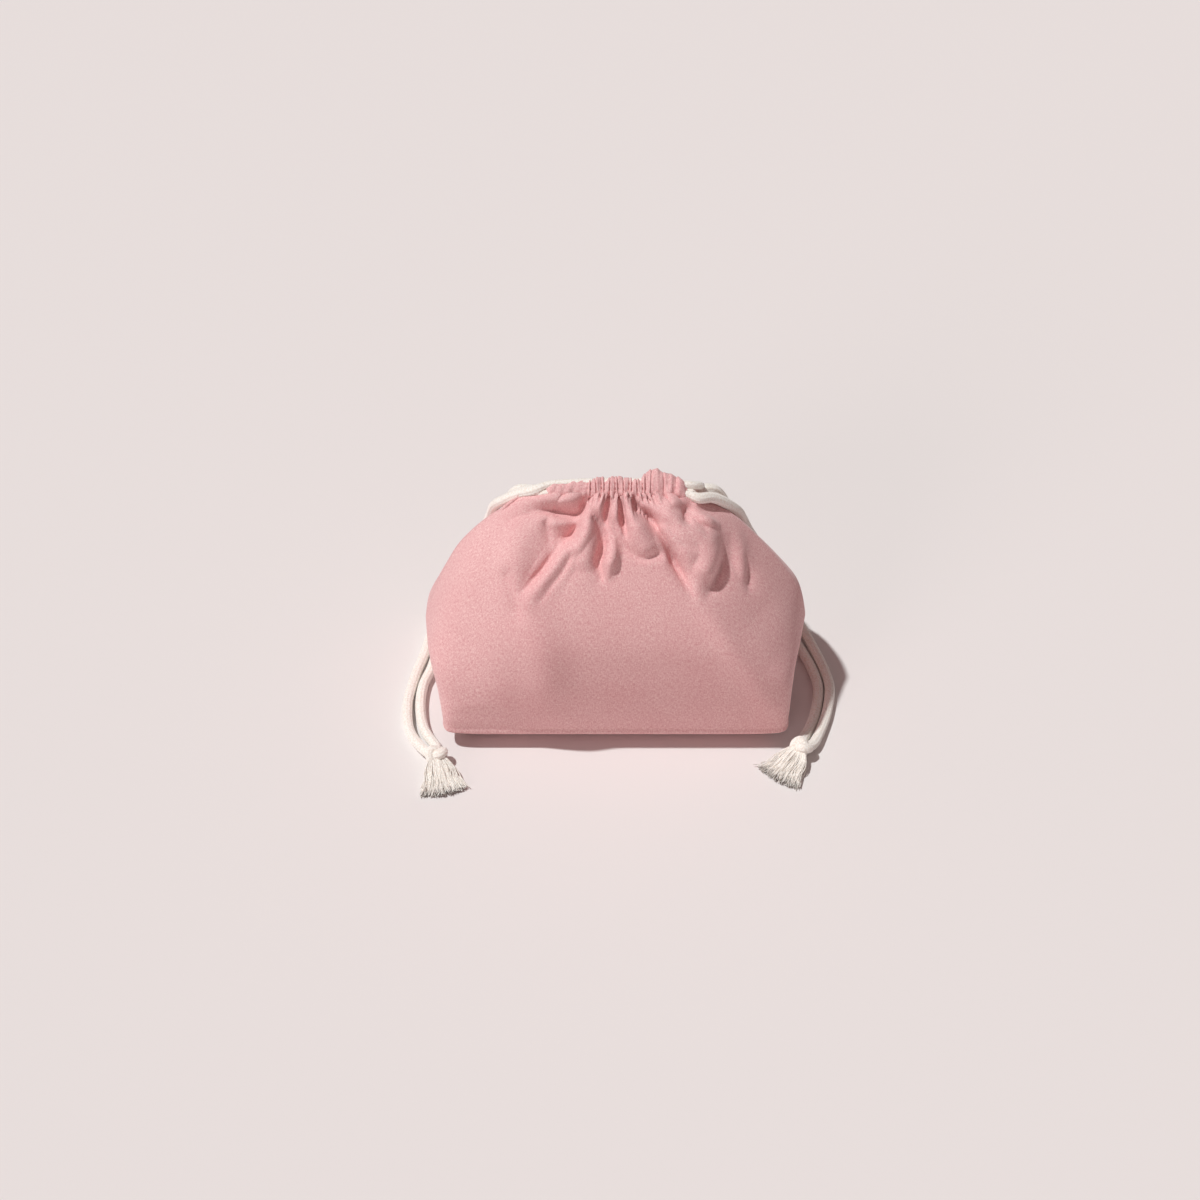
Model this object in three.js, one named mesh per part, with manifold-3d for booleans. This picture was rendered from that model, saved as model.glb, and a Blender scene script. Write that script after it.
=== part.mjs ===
// Drawstring lunch bag in cotton canvas, standing filled with its mouth drawn shut.
// Three cloth panels make the body: a front, a back and a boxed base, joined by seams whose
// allowances lie inside. The front and back end in gathered casings. Two cotton cords run through
// both casings in opposite senses: each turns round at one end of the mouth and leaves as a pair of
// tails at the other, which hang down behind that shoulder, lie on the ground and end in one knot
// and a tassel.
// Millimetres, +Z up, +X to the right, +Y to the back, origin on the ground under the base's middle.

import * as THREE from 'three';
import { LoftGeometry } from 'three/addons/geometries/LoftGeometry.js';
import { mergeVertices } from 'three/addons/utils/BufferGeometryUtils.js';
import Module from 'manifold-3d';

const wasm = await Module();
wasm.setup();

// Driving dimensions
const baseWidth = 195;
const baseDepth = 105;
const bellyWidth = 148;
const bellyDepth = 62;
const edgeRise = 12.6;
const stitchHeight = 149;
const stitchInset = 4;
const mouthLean = THREE.MathUtils.degToRad(42);
const casingLength = 76;
const mouthGap = 6.4;
const fabricThickness = 0.8;
const seamAllowance = 7;
const clearance = 0.3;

// The cord, and how the casing squeezes it
const cordDiameter = 6;
const squeezedHeight = 4.4;
const squeezedDepth = 5.3;
const tailRunInCasing = 25;
const tailRunOutside = 10;
const tubeOverrun = 2;

// The casing's cloth with its gathers
const casingWall = 1.1;
const gatherRipple = 0.5;
const casingGathers = 12;
const casingSquareness = 3.5;
const mouthOverhang = 1;

// The panels' gathers and side slits
const panelGathers = 9;
const gatherDepth = 1.6;
const slitStartShare = 0.87;
const slitWidth = 6;

// Knots and tassels
const knotRadius = 6.6;
const knotFlatShare = 0.92;
const wrapRadius = 2.4;
const wrapSunkShare = 0.75;
const wrapOffsetShare = 0.35;
const wrapTilt = THREE.MathUtils.degToRad(19);
const tasselLength = 21;
const tasselWidth = 23;
const tasselHeight = 8;
const tasselFlutes = 6;
const fluteValleyShare = 0.8;

// How finely curves are divided
const normalFineness = 8;
const panelColumns = 48;
const panelRows = 14;
const casingSides = 16;
const stepsPerGather = 3;
const cordSides = 10;
const tailSteps = 30;
const loopSteps = 34;

// Worked out from the sizes above
const tunnelHeight = 2 * squeezedHeight + 3 * clearance;
const tunnelDepth = squeezedDepth + 2 * clearance;
const casingHeight = tunnelHeight + 2 * casingWall;
const casingDepth = tunnelDepth + 2 * casingWall;
const mouthDepth = 2 * casingDepth + mouthGap;
const casingEnd = casingLength / 2;
const frontAcross = casingDepth / 2;
const backAcross = mouthDepth - casingDepth / 2;
const lowerStrand = casingWall + clearance + squeezedHeight / 2;
const upperStrand = lowerStrand + squeezedHeight + clearance;

const canvas = new THREE.MeshStandardMaterial({ color: 0xeeb6b6, roughness: 0.9, metalness: 0 });
const cotton = new THREE.MeshStandardMaterial({ color: 0xefe3d3, roughness: 0.95, metalness: 0 });

const bag = new THREE.Group();

// Everything at the mouth is drawn in the mouth's own frame: x along it, y across it from the
// front face to the back face, z up the casings from the stitch line. The frame leans back.
const mouth = new THREE.Group();
mouth.position.set(0, -stitchInset, stitchHeight);
mouth.rotation.x = -mouthLean;
mouth.updateMatrix();
bag.add(mouth);

function inMouth(along, across, up) {
  return new THREE.Vector3(along, across, up).applyMatrix4(mouth.matrix);
}

function place(name, geometry, material, parent = bag) {
  const mesh = new THREE.Mesh(geometry, material);
  mesh.name = name;
  parent.add(mesh);
}

function toSolid(geometry) {
  geometry.deleteAttribute('normal');
  geometry.deleteAttribute('uv');
  const merged = mergeVertices(geometry, fabricThickness / 1000);
  return new wasm.Manifold(new wasm.Mesh({
    numProp: 3,
    vertProperties: new Float32Array(merged.getAttribute('position').array),
    triVerts: new Uint32Array(merged.getIndex().array),
  }));
}

function toGeometry(solid) {
  const mesh = solid.getMesh();
  const geometry = new THREE.BufferGeometry();
  geometry.setAttribute('position', new THREE.BufferAttribute(mesh.vertProperties, 3));
  geometry.setIndex(new THREE.BufferAttribute(mesh.triVerts, 1));
  return geometry;
}

// A closed outline between an ellipse (squareness 2) and a rectangle, once round from +x
function superellipse(halfWidth, halfHeight, squareness, angle) {
  const c = Math.cos(angle);
  const s = Math.sin(angle);
  const power = 2 / squareness;
  return new THREE.Vector2(
    halfWidth * Math.sign(c) * Math.abs(c) ** power,
    halfHeight * Math.sign(s) * Math.abs(s) ** power,
  );
}

function ring(halfWidth, halfDepth, squareness, height) {
  return Array.from({ length: 2 * panelColumns }, (_, i) => {
    const p = superellipse(halfWidth, halfDepth, squareness, i * Math.PI / panelColumns);
    return new THREE.Vector3(p.x, p.y, height);
  });
}

// The walls: three guide curves rise from the base's edge to the mouth, one up the middle of the
// front, one up the middle of the back and one up the side seam.
const edgeSquareness = 16;
const wallFoot = edgeRise + clearance;
const frontDepthShares = [1.08, 1.03, 0.876, 0.648, 0.343];
const frontHeightShares = [0.235, 0.403, 0.604, 0.772, 0.913];
const backDepthShares = [1.08, 1.03, 0.9, 0.7, 0.46];
const backHeightShares = [0.235, 0.403, 0.59, 0.738, 0.846];
const sideWidthShares = [1.108, 1.116, 1.046, 0.882, 0.615];
const sideHeightShares = [0.228, 0.383, 0.574, 0.725, 0.879];
const sideLeanShares = [0, 0, 0.1, 0.3, 0.7];
const frontSquarenessShares = [1, 0.53, 0.28, 0.17, 0.14, 0.15, 0.22];
const backSquarenessShares = [1, 0.28, 0.16, 0.125, 0.115, 0.12, 0.2];
const gatherShares = [0, 0, 0, 0.15, 0.6, 1, 0.25];

// The main folds of a panel. Each runs down from the mouth: its place there and at its foot as
// shares of the way from the left seam to the right one, how far up the cloth its foot is, its
// height outward and its half width as a share of the panel's width.
const frontFolds = [
  { mouthShare: 0.365, endShare: 0.28, footShare: 0.6, height: 5, widthShare: 0.035 },
  { mouthShare: 0.335, endShare: 0.3, footShare: 0.74, height: -6, widthShare: 0.022 },
  { mouthShare: 0.455, endShare: 0.475, footShare: 0.66, height: -7, widthShare: 0.02 },
  { mouthShare: 0.565, endShare: 0.6, footShare: 0.72, height: 5, widthShare: 0.03 },
  { mouthShare: 0.6, endShare: 0.72, footShare: 0.66, height: -6, widthShare: 0.022 },
  { mouthShare: 0.64, endShare: 0.735, footShare: 0.6, height: 5, widthShare: 0.035 },
  { mouthShare: 0.86, endShare: 0.83, footShare: 0.62, height: -3, widthShare: 0.025 },
];
const backFolds = [
  { mouthShare: 0.36, endShare: 0.3, footShare: 0.62, height: -6, widthShare: 0.025 },
  { mouthShare: 0.41, endShare: 0.37, footShare: 0.6, height: 5, widthShare: 0.03 },
  { mouthShare: 0.48, endShare: 0.485, footShare: 0.62, height: -6, widthShare: 0.022 },
  { mouthShare: 0.54, endShare: 0.56, footShare: 0.66, height: 5, widthShare: 0.028 },
  { mouthShare: 0.6, endShare: 0.64, footShare: 0.68, height: -5, widthShare: 0.022 },
];
const foldStartShare = 0.97;

function guide(foot, widths, depths, heights, top) {
  const between = heights.map((share, i) => new THREE.Vector3(
    widths[i] * baseWidth / 2,
    depths[i] * baseDepth / 2,
    share * stitchHeight,
  ));
  return new THREE.CatmullRomCurve3([foot, ...between, top]);
}

const none = frontDepthShares.map(() => 0);
const mouthMiddle = inMouth(casingEnd + mouthOverhang, mouthDepth / 2, -clearance);
const sideDepths = sideLeanShares.map((share) => share * mouthMiddle.y / (baseDepth / 2));
const frontGuide = guide(
  new THREE.Vector3(0, -baseDepth / 2, wallFoot),
  none,
  frontDepthShares.map((share) => -share),
  frontHeightShares,
  inMouth(0, 0, -clearance),
);
const backGuide = guide(
  new THREE.Vector3(0, baseDepth / 2, wallFoot),
  none,
  backDepthShares,
  backHeightShares,
  inMouth(0, mouthDepth, -clearance),
);
const sideGuide = guide(
  new THREE.Vector3(baseWidth / 2, 0, wallFoot),
  sideWidthShares,
  sideDepths,
  sideHeightShares,
  mouthMiddle,
);

// The value at a height between the listed ones, which are evenly spaced from foot to mouth
function eased(shares, rise) {
  const at = rise * (shares.length - 1);
  const low = Math.min(Math.floor(at), shares.length - 2);
  const t = at - low;
  return shares[low] + (shares[low + 1] - shares[low]) * t * t * (3 - 2 * t);
}

function squarenessAt(middleGuide, rise) {
  const shares = middleGuide === frontGuide ? frontSquarenessShares : backSquarenessShares;
  return edgeSquareness * eased(shares, rise);
}

// Height of the main folds: a bell curve across each one, rising and falling along it
function foldHeight(middleGuide, angle, rise) {
  const share = 1 - angle / Math.PI;
  const folds = middleGuide === frontGuide ? frontFolds : backFolds;
  return folds.reduce((sum, fold) => {
    const down = (foldStartShare - rise) / (foldStartShare - fold.footShare);
    if (down <= 0 || down >= 1) return sum;
    const away = (share - THREE.MathUtils.lerp(fold.mouthShare, fold.endShare, down)) / fold.widthShare;
    return sum + fold.height * Math.exp(-away * away) * Math.sin(Math.PI * Math.sqrt(down)) ** 0.7;
  }, 0);
}

// A point of the smooth wall. Angle 0 is the right side seam and half a turn the left one.
function smoothWall(middleGuide, angle, rise) {
  const side = sideGuide.getPoint(rise);
  const middle = middleGuide.getPoint(rise);
  const share = superellipse(1, 1, squarenessAt(middleGuide, rise), angle);
  return new THREE.Vector3(
    side.x * share.x,
    side.y + (middle.y - side.y) * share.y,
    side.z + (middle.z - side.z) * share.y,
  );
}

// The same point moved along the wall's normal: out by the main folds, in by the valley of a
// gather and by inset
function wallPoint(middleGuide, angle, rise, inset) {
  const step = Math.PI / (normalFineness * panelColumns);
  const riseStep = 1 / (normalFineness * panelRows);
  const before = Math.max(angle - step, step / normalFineness);
  const after = Math.min(angle + step, Math.PI - step / normalFineness);
  const low = Math.max(rise - riseStep, 0);
  const high = Math.min(rise + riseStep, 1);
  const across = smoothWall(middleGuide, after, rise).sub(smoothWall(middleGuide, before, rise));
  const up = smoothWall(middleGuide, angle, high).sub(smoothWall(middleGuide, angle, low));
  const normal = across.cross(up).normalize();
  if (middleGuide === frontGuide) normal.negate();
  const wave = (1 - Math.cos(2 * panelGathers * angle)) / 2 * Math.sin(angle);
  const valley = gatherDepth * eased(gatherShares, rise) * wave;
  const fold = foldHeight(middleGuide, angle, rise);
  return smoothWall(middleGuide, angle, rise).addScaledVector(normal, fold - valley - inset);
}

// One panel is a thin sheet bent round half of the body. Its edges stop short of the seam, and
// part from the other panel's above the slit's foot.
function panel(middleGuide) {
  const sections = [];
  for (let row = 0; row <= panelRows; row += 1) {
    const rise = row / panelRows;
    const side = sideGuide.getPoint(rise);
    const middle = middleGuide.getPoint(rise);
    const open = Math.max(0, (rise - slitStartShare) / (1 - slitStartShare));
    const edgeGap = (clearance + open * (slitWidth - clearance)) / 2;
    const squareness = squarenessAt(middleGuide, rise);
    const start = Math.asin((edgeGap / side.distanceTo(middle.clone().setX(side.x))) ** (squareness / 2));
    const angles = Array.from(
      { length: panelColumns + 1 },
      (_, i) => start + (Math.PI - 2 * start) * i / panelColumns,
    );
    const outer = angles.map((angle) => wallPoint(middleGuide, angle, rise, 0));
    const inner = angles.map((angle) => wallPoint(middleGuide, angle, rise, fabricThickness));
    const section = [...outer, ...inner.reverse()];
    if (middleGuide === frontGuide) section.reverse();
    sections.push(section);
  }
  return new LoftGeometry(sections, { capStart: true, capEnd: true });
}

// The base is a shallow tray: a flat belly on the ground whose sides rise to the sewn edge
function base() {
  const spreadShares = [0, 0.45, 0.8, 1];
  const riseShares = [0, 0.1, 0.42, 1];
  const sides = (inset) => spreadShares.map((spread, i) => ring(
    THREE.MathUtils.lerp(bellyWidth, baseWidth, spread) / 2 - inset,
    THREE.MathUtils.lerp(bellyDepth, baseDepth, spread) / 2 - inset,
    edgeSquareness,
    riseShares[i] * edgeRise + inset,
  ));
  const capped = { capStart: true, capEnd: true };
  const outside = toSolid(new LoftGeometry(sides(0), capped));
  const inside = toSolid(new LoftGeometry(sides(fabricThickness), capped));
  return toGeometry(outside.subtract(inside));
}

// The allowance of the seam round the base stands up inside the walls
function baseSeam() {
  const outset = fabricThickness + 2 * clearance;
  const outline = (inset, points) => Array.from({ length: points }, (_, i) => superellipse(
    baseWidth / 2 - inset,
    baseDepth / 2 - inset,
    edgeSquareness,
    i * 2 * Math.PI / points,
  ));
  const shape = new THREE.Shape(outline(outset, panelColumns));
  shape.holes.push(new THREE.Path(outline(outset + 2 * fabricThickness, panelColumns)));
  const geometry = new THREE.ExtrudeGeometry(shape, { depth: seamAllowance, bevelEnabled: false });
  geometry.translate(0, 0, wallFoot);
  return geometry;
}

// The allowance of a side seam is a narrow strip inside the bag, on the same rows as the panels
function sideSeam(hand) {
  const sections = [];
  for (let row = 1; row <= slitStartShare * panelRows; row += 1) {
    const point = sideGuide.getPoint(row / panelRows);
    const tangent = sideGuide.getTangent(row / panelRows);
    const inward = new THREE.Vector3(-tangent.z, 0, tangent.x).normalize();
    const near = point.clone().addScaledVector(inward, fabricThickness + 2 * clearance);
    const far = near.clone().addScaledVector(inward, seamAllowance);
    const corners = [[near, -1], [near, 1], [far, 1], [far, -1]].map(([p, turn]) => new THREE.Vector3(
      hand * p.x,
      p.y + turn * fabricThickness,
      p.z,
    ));
    sections.push(hand > 0 ? corners : corners.reverse());
  }
  return new LoftGeometry(sections, { capStart: true, capEnd: true });
}

// A casing: a sleeve of doubled cloth, gathered along its length, round a tunnel for two strands
function casing(across) {
  const sections = [];
  const count = casingGathers * stepsPerGather;
  for (let i = 0; i <= count; i += 1) {
    const swell = gatherRipple * (Math.cos(2 * Math.PI * i / stepsPerGather) - 1);
    const section = Array.from({ length: casingSides }, (_, k) => {
      const p = superellipse(
        casingDepth / 2 + swell,
        casingHeight / 2 + swell,
        casingSquareness,
        2 * Math.PI * k / casingSides,
      );
      return new THREE.Vector3(-casingEnd + casingLength * i / count, across + p.x, casingHeight / 2 + p.y);
    });
    sections.push(section);
  }
  const sleeve = toSolid(new LoftGeometry(sections, { capStart: true, capEnd: true }));
  const ends = [-1, 1].map((end) => Array.from({ length: casingSides }, (_, k) => {
    const angle = 2 * Math.PI * k / casingSides;
    const p = superellipse(tunnelDepth / 2, tunnelHeight / 2, casingSquareness, angle);
    return new THREE.Vector3(end * (casingEnd + tubeOverrun), across + p.x, casingHeight / 2 + p.y);
  }));
  const tunnel = toSolid(new LoftGeometry(ends, { capStart: true, capEnd: true }));
  return toGeometry(sleeve.subtract(tunnel));
}

function cordSection(halfAcross, halfUp) {
  return new THREE.Shape(Array.from({ length: cordSides }, (_, i) => {
    const angle = 2 * Math.PI * i / cordSides;
    return new THREE.Vector2(halfAcross * Math.cos(angle), halfUp * Math.sin(angle));
  }));
}

// The part of a cord that stays in the casings: down one tunnel, round the far end of the mouth
// and back through the other tunnel, squeezed flat by the gathers
function loop(hand, up) {
  const near = casingEnd - tailRunInCasing - clearance;
  const turn = (backAcross - frontAcross) / 2;
  const middle = (backAcross + frontAcross) / 2;
  const leg = [near, near / 2, 0, -casingEnd / 2, -casingEnd];
  const bend = [1, 2, 3, 4, 5].map((i) => {
    const angle = Math.PI * i / 6;
    return new THREE.Vector3(-casingEnd - turn * Math.sin(angle), middle - turn * Math.cos(angle), 0);
  });
  const points = [
    ...leg.map((x) => new THREE.Vector3(x, frontAcross, 0)),
    ...bend,
    ...leg.reverse().map((x) => new THREE.Vector3(x, backAcross, 0)),
  ];
  const path = new THREE.CatmullRomCurve3(points.map((p) => new THREE.Vector3(hand * p.x, p.y, 0)));
  const geometry = new THREE.ExtrudeGeometry(cordSection(squeezedHeight / 2, squeezedDepth / 2), {
    steps: loopSteps,
    extrudePath: path,
  });
  geometry.translate(0, 0, up);
  return geometry;
}

// A tail: a squeezed run that slides in the tunnel, and the free cord that follows its route
function tail(hand, across, up, route) {
  const inside = casingEnd - tailRunInCasing;
  const outside = casingEnd + tailRunOutside;
  const core = new THREE.ExtrudeGeometry(cordSection(squeezedDepth / 2, squeezedHeight / 2), {
    depth: outside - inside,
    bevelEnabled: false,
  });
  core.rotateX(Math.PI / 2);
  core.rotateZ(Math.PI / 2);
  core.translate(hand > 0 ? inside : -outside, across, up);
  core.applyMatrix4(mouth.matrix);
  const exit = [-tubeOverrun, 0].map((back) => inMouth(hand * (outside + back), across, up));
  const free = new THREE.ExtrudeGeometry(cordSection(cordDiameter / 2, cordDiameter / 2), {
    steps: tailSteps,
    extrudePath: new THREE.CatmullRomCurve3([...exit, ...route.map((p) => new THREE.Vector3(...p))]),
  });
  return toGeometry(toSolid(core).add(toSolid(free)));
}

// Both tails of a cord are tied in one knot: a ball with two turns of cord round it
function knot(middle, heading) {
  let solid = toSolid(new THREE.SphereGeometry(knotRadius, 12, 8));
  for (const side of [-1, 1]) {
    const wrap = new THREE.TorusGeometry(knotRadius - wrapSunkShare * wrapRadius, wrapRadius, 8, 14);
    wrap.rotateX(-side * wrapTilt);
    wrap.rotateY(Math.PI / 2);
    wrap.translate(side * wrapOffsetShare * knotRadius, 0, 0);
    solid = solid.add(toSolid(wrap));
  }
  const geometry = toGeometry(solid);
  geometry.scale(1, 1, knotFlatShare);
  geometry.rotateZ(heading);
  geometry.translate(...middle);
  return geometry;
}

// The frayed ends beyond a knot: a fluted tuft that fans out and settles on the ground
function tassel(middle, heading) {
  const reachShares = [0, 0.2, 0.5, 0.8, 1];
  const widthShares = [0.26, 0.4, 0.72, 0.95, 0.9];
  const heightShares = [1, 0.95, 0.75, 0.5, 0.3];
  const start = knotRadius + clearance;
  const sections = reachShares.map((reach, i) => Array.from({ length: 3 * tasselFlutes }, (_, k) => {
    const angle = 2 * Math.PI * k / (3 * tasselFlutes);
    const flute = k % 3 === 0 ? 1 : fluteValleyShare;
    const half = heightShares[i] * tasselHeight / 2;
    return new THREE.Vector3(
      start + reach * tasselLength,
      flute * widthShares[i] * tasselWidth / 2 * Math.cos(angle),
      half + clearance + flute * half * Math.sin(angle) - middle[2],
    );
  }));
  const geometry = new LoftGeometry(sections, { capStart: true, capEnd: true });
  geometry.rotateZ(heading);
  geometry.translate(...middle);
  return geometry;
}

// Where the knots lie, the way each tassel points, and the tails' routes from the casings' ends
// over the shoulder, down the back wall beside the seam, round the base's back corner and forward
// along the ground to the knots
const rightKnot = [105, -59, 7];
const leftKnot = [-101, -65, 7];
const rightHeading = THREE.MathUtils.degToRad(232);
const leftHeading = THREE.MathUtils.degToRad(283);
const rightFrontRoute = [
  [54, 2.5, 144.8], [61, 6.5, 136.8], [68, 13.5, 125], [71.5, 21.5, 111.5], [76.2, 31.2, 96.8],
  [80.9, 38.5, 79.5], [84.4, 45.8, 62], [87.9, 53.2, 44], [91.4, 57.2, 27.5], [98.5, 59, 14.5],
  [107.2, 52.5, 6.6], [114.4, 37.5, 3.6], [119.5, 21, 3.4], [123.5, 6, 3.4], [125.2, -8, 3.4],
  [122.2, -27, 3.4], [117.2, -42.5, 3.6], [111.6, -54.7, 5],
];
const rightBackRoute = [
  [54, 12.8, 136.6], [59.5, 17.5, 128], [62, 26, 115], [65.5, 34.5, 99.5], [69.5, 41, 82.5],
  [73.8, 48.6, 64.5], [77.6, 54.9, 47], [81, 58.4, 30], [86, 58, 16], [92.5, 57, 7],
  [99.5, 51, 3.8], [105.5, 38, 3.4], [111, 23, 3.4], [116, 8, 3.4], [118.5, -8, 3.4],
  [115.3, -28, 3.4], [110.3, -42.5, 3.6], [106.2, -51.2, 5],
];
const leftFrontRoute = [
  [-54, 5.6, 148], [-61, 8, 139.2], [-67, 14.5, 128.5], [-70.5, 22, 113], [-75, 30.5, 98],
  [-79.5, 37.5, 81], [-83.4, 45.2, 63], [-87, 52.9, 45], [-90, 56, 28], [-97.5, 59, 14.5],
  [-106, 52.5, 6.6], [-110.4, 37, 3.6], [-113.5, 20, 3.4], [-117, 5, 3.4], [-119.3, -8, 3.4],
  [-120.6, -22, 3.4], [-117.5, -44, 3.6], [-107.2, -60.2, 5],
];
const leftBackRoute = [
  [-54, 14.6, 139.2], [-59.5, 18, 130], [-61.5, 26, 117], [-65, 34.5, 101], [-69, 41, 84],
  [-73.2, 48, 66], [-77.2, 54.9, 48], [-80.6, 58.5, 30], [-85.2, 58.6, 16], [-91.5, 57, 7],
  [-98.5, 51.5, 3.8], [-102.5, 38, 3.4], [-106, 22, 3.4], [-108.5, 8, 3.4], [-112.4, -6, 3.4],
  [-113, -24, 3.4], [-109.5, -42, 3.6], [-101.6, -57.2, 5],
];

place('base_panel', base(), canvas);
place('front_panel', panel(frontGuide), canvas);
place('back_panel', panel(backGuide), canvas);
place('base_seam', baseSeam(), canvas);
place('right_side_seam', sideSeam(1), canvas);
place('left_side_seam', sideSeam(-1), canvas);
place('front_casing', casing(frontAcross), canvas, mouth);
place('back_casing', casing(backAcross), canvas, mouth);
place('right_cord_loop', loop(1, lowerStrand), cotton, mouth);
place('left_cord_loop', loop(-1, upperStrand), cotton, mouth);
place('right_front_tail', tail(1, frontAcross, lowerStrand, rightFrontRoute), cotton);
place('right_back_tail', tail(1, backAcross, lowerStrand, rightBackRoute), cotton);
place('left_front_tail', tail(-1, frontAcross, upperStrand, leftFrontRoute), cotton);
place('left_back_tail', tail(-1, backAcross, upperStrand, leftBackRoute), cotton);
place('right_knot', knot(rightKnot, rightHeading), cotton);
place('left_knot', knot(leftKnot, leftHeading), cotton);
place('right_tassel', tassel(rightKnot, rightHeading), cotton);
place('left_tassel', tassel(leftKnot, leftHeading), cotton);

export default bag;
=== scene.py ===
"""A drawstring lunch bag in pale pink cotton canvas, standing filled with its mouth drawn shut.

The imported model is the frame. Its soft solids are replaced here by the cloth panels with their folds,
the gathered casings, the seams, the knitted cords, the knots and the frayed tassels.
Metres, +Z up, +X to the right, +Y to the back, origin on the ground under the base's middle.
"""

import math

import bpy
import numpy as np
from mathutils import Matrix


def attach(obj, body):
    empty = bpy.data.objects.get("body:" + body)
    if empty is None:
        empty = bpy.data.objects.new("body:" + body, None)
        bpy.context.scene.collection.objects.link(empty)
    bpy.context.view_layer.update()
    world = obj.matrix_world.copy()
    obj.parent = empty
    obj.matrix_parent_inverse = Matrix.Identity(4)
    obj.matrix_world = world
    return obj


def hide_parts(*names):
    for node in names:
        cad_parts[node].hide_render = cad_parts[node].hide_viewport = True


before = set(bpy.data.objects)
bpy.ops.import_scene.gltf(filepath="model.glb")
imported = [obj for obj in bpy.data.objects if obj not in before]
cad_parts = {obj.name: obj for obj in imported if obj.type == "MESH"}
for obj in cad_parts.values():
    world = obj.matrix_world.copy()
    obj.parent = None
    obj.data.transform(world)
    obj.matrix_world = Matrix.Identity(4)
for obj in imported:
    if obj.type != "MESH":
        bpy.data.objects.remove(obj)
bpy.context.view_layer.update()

MM = 0.001

# Camera: looks down at the front, as the photograph does
CAMERA_TARGET = np.array((-9.0, -2.5, 68.5)) * MM
CAMERA_DISTANCE = 1150 * MM
CAMERA_ELEVATION = math.radians(43)
CAMERA_LENS = 61.05

# Light: a small hard source from the upper left, a broad faint one from the front left, and a sky.
# Each source has its travel, its strength, its colour and its spread in degrees
LIGHTS = {
    "sun": ((0.45, 0.05, -1.0), 2.5, (0.98, 1.0, 0.99), 2.5),
    "fill": ((0.6, 0.76, -0.3), 0.45, (1.0, 0.78, 0.79), 25),
}
SKY_STRENGTH = 0.21
SKY_COLOUR = (1.0, 0.73, 0.71, 1.0)

# The mouth's own frame, as in the source: x along it, y across it, z up the casings
STITCH_HEIGHT = 149 * MM
STITCH_INSET = 4 * MM
MOUTH_LEAN = math.radians(42)
CASING_LENGTH = 76 * MM
CASING_DEPTH = 8.1 * MM
MOUTH_DEPTH = 22.6 * MM
FRONT_ACROSS = CASING_DEPTH / 2
BACK_ACROSS = MOUTH_DEPTH - CASING_DEPTH / 2
LOWER_STRAND = 3.6 * MM
UPPER_STRAND = 8.3 * MM

# Cords
CORD_DIAMETER = 6 * MM
SQUEEZED_HALF = np.array((5.3, 4.4)) / 2 * MM
RUN_IN_CASING = 25 * MM


def in_mouth(points):
    """Points of the mouth's frame in the row frame: turned back by the mouth's lean, then set at
    the front stitch line."""
    p = np.asarray(points, float)
    c, s = math.cos(MOUTH_LEAN), math.sin(MOUTH_LEAN)
    x, y, z = np.moveaxis(p, -1, 0)
    return np.stack([x, -STITCH_INSET + y * c + z * s, STITCH_HEIGHT - y * s + z * c], axis=-1)


# How far the drawn mouth has settled between its own folds
SINK_MIDDLE = 2.4 * MM
SINK_ENDS = 1.5 * MM
SINK_REACH_SHARE = 1.1


def sink(x):
    """How much lower the mouth lies at x: a parabola, deepest at the ends and level beyond them."""
    share = np.minimum(np.abs(x) / (CASING_LENGTH / 2), SINK_REACH_SHARE)
    return SINK_MIDDLE + SINK_ENDS * share**2


def sunk(points):
    """Points of the mouth's frame, lowered by the sink."""
    p = np.array(points, float)
    p[..., 2] -= sink(p[..., 0])
    return p


def smooth_step(x, low, high):
    """From 0 at low to 1 at high, level at both: 3 t^2 - 2 t^3."""
    t = np.clip((x - low) / (high - low), 0, 1)
    return t * t * (3 - 2 * t)


def smooth_line(points, count):
    """Points evenly spaced along the centripetal Catmull-Rom curve through the given points: on
    each span a cubic whose end slopes weigh the neighbouring chords by the roots of their lengths."""
    p = np.asarray(points, float)
    p = np.vstack([2 * p[0] - p[1], p, 2 * p[-1] - p[-2]])
    d = np.sqrt(np.linalg.norm(np.diff(p, axis=0), axis=1))[:, None]
    d0, d1, d2 = d[:-2], d[1:-1], d[2:]
    a, b, c, e = p[:-3], p[1:-2], p[2:-1], p[3:]
    leave = ((b - a) / d0 - (c - a) / (d0 + d1) + (c - b) / d1) * d1
    arrive = ((c - b) / d1 - (e - b) / (d1 + d2) + (e - c) / d2) * d1
    t = np.linspace(0, 1, 60, endpoint=False)[None, :, None]
    line = (
        (2 * t**3 - 3 * t**2 + 1) * b[:, None]
        + (t**3 - 2 * t**2 + t) * leave[:, None]
        + (3 * t**2 - 2 * t**3) * c[:, None]
        + (t**3 - t**2) * arrive[:, None]
    )
    line = np.vstack([line.reshape(-1, p.shape[1]), p[-2]])
    return even_line(line, count)


def run_along(line):
    """The length along a line up to each of its points."""
    return np.concatenate([[0], np.cumsum(np.linalg.norm(np.diff(line, axis=0), axis=1))])


def even_line(line, count):
    """The same polyline with its points evenly spaced by length."""
    run = run_along(line)
    at = np.linspace(0, run[-1], count)
    return np.stack([np.interp(at, run, line[:, k]) for k in range(line.shape[1])], axis=1)


def line_length(line):
    return float(np.linalg.norm(np.diff(line, axis=0), axis=1).sum())


def full_circle(count):
    """Evenly spaced angles of a full turn."""
    return np.linspace(0, 2 * math.pi, count, endpoint=False)


def join(*parts):
    """Points from arrays of their coordinates, spread to one shape."""
    return np.stack(np.broadcast_arrays(*parts), axis=-1)


def unit(vectors):
    """The same directions at length 1."""
    return vectors / np.linalg.norm(vectors, axis=-1, keepdims=True)


def signed_power(value, power):
    """A power of the value's size, with the value's own sign."""
    return np.sign(value) * np.abs(value) ** power


# Colours and materials

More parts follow.
